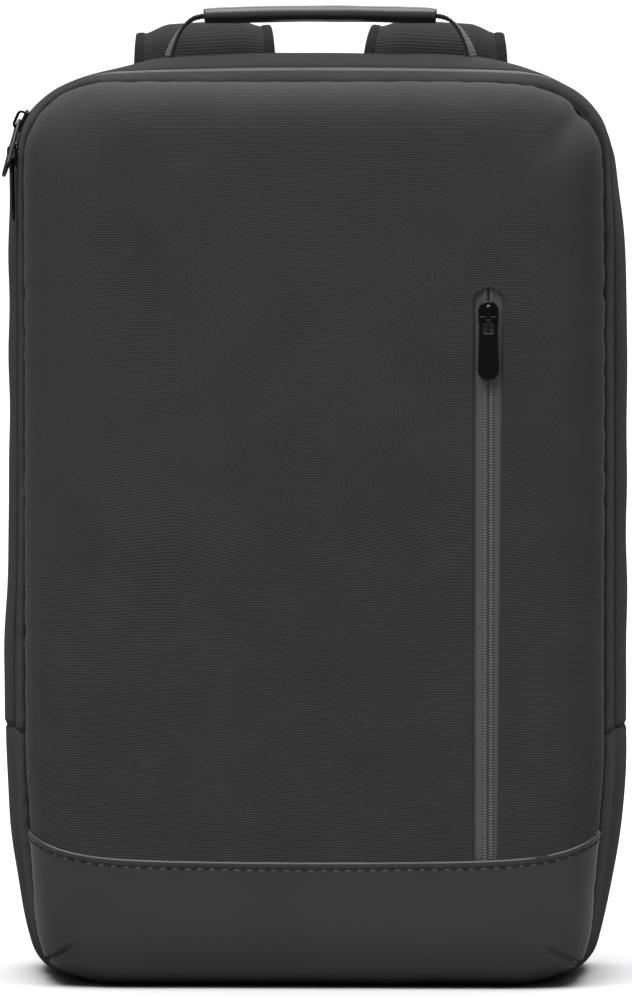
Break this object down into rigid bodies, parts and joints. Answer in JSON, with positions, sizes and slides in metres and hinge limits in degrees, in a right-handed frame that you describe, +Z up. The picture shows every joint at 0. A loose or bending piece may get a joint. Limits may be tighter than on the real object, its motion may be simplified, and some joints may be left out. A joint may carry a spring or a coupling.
{
  "type": "laptop backpack",
  "caption": "Slim rectangular laptop backpack standing closed, with a leather foot, a vertical front pocket zip, an over-the-top main zip, a padded top handle and shoulder straps.",
  "frame": {"origin": "the middle of the base, on the surface that the bag stands on", "axes": "+Z up towards the carrying handle, the front panel faces -Y, the straps are on the +Y side, +X is to the right as the front is seen"},
  "size_m": [0.289, 0.1772, 0.4498],
  "materials": {
    "canvas": "dark grey canvas with a fine horizontal rib",
    "gusset": "dark grey twill-ribbed polyester",
    "leather": "dark grey smooth coated leather with a soft sheen",
    "zip_tape": "smooth coated zip tape",
    "back_padding": "dark spacer mesh over foam",
    "zip_metal": "black glossy plated zinc",
    "webbing": "black ribbed webbing",
    "strap_cloth": "dark grey ribbed polyester over foam",
    "plastic": "black moulded acetal"
  },
  "bodies": {
    "bag": {"front_panel": "canvas", "leather_panel": "leather", "gusset_front": "gusset", "gusset_rear": "gusset", "gusset_lower": "gusset", "main_zip": "zip_tape", "back_panel": "back_padding", "pocket_zip": "zip_tape", "pocket_slider": "zip_metal", "side_slider_upper": "zip_metal", "side_slider_lower": "zip_metal", "handle_webbing": "webbing", "handle_grip": "leather", "strap_left": "strap_cloth", "adjuster_left": "plastic", "adjuster_loop_left": "webbing", "strap_webbing_left": "webbing", "strap_right": "strap_cloth", "adjuster_right": "plastic", "adjuster_loop_right": "webbing", "strap_webbing_right": "webbing"},
    "front_pull": {"pocket_pull": "zip_metal"},
    "upper_pull": {"side_pull_upper": "zip_metal"},
    "lower_pull": {"side_pull_lower": "zip_metal"}
  },
  "joints": [
    {"name": "front_pull_swing", "type": "hinge", "parent": "bag", "child": "front_pull", "pos_m": [0.079, -0.0668, 0.3045], "axis": [-1, 0, 0], "range_deg": [0, 150]},
    {"name": "upper_pull_swing", "type": "hinge", "parent": "bag", "child": "upper_pull", "pos_m": [-0.13706, -0.01265, 0.39343], "axis": [-0.2946, 0.8505, -0.4358], "range_deg": [0, 135]},
    {"name": "lower_pull_swing", "type": "hinge", "parent": "bag", "child": "lower_pull", "pos_m": [-0.13985, -0.01247, 0.37716], "axis": [-0.1496, 0.9887, -0.0001], "range_deg": [0, 75]}
  ]
}
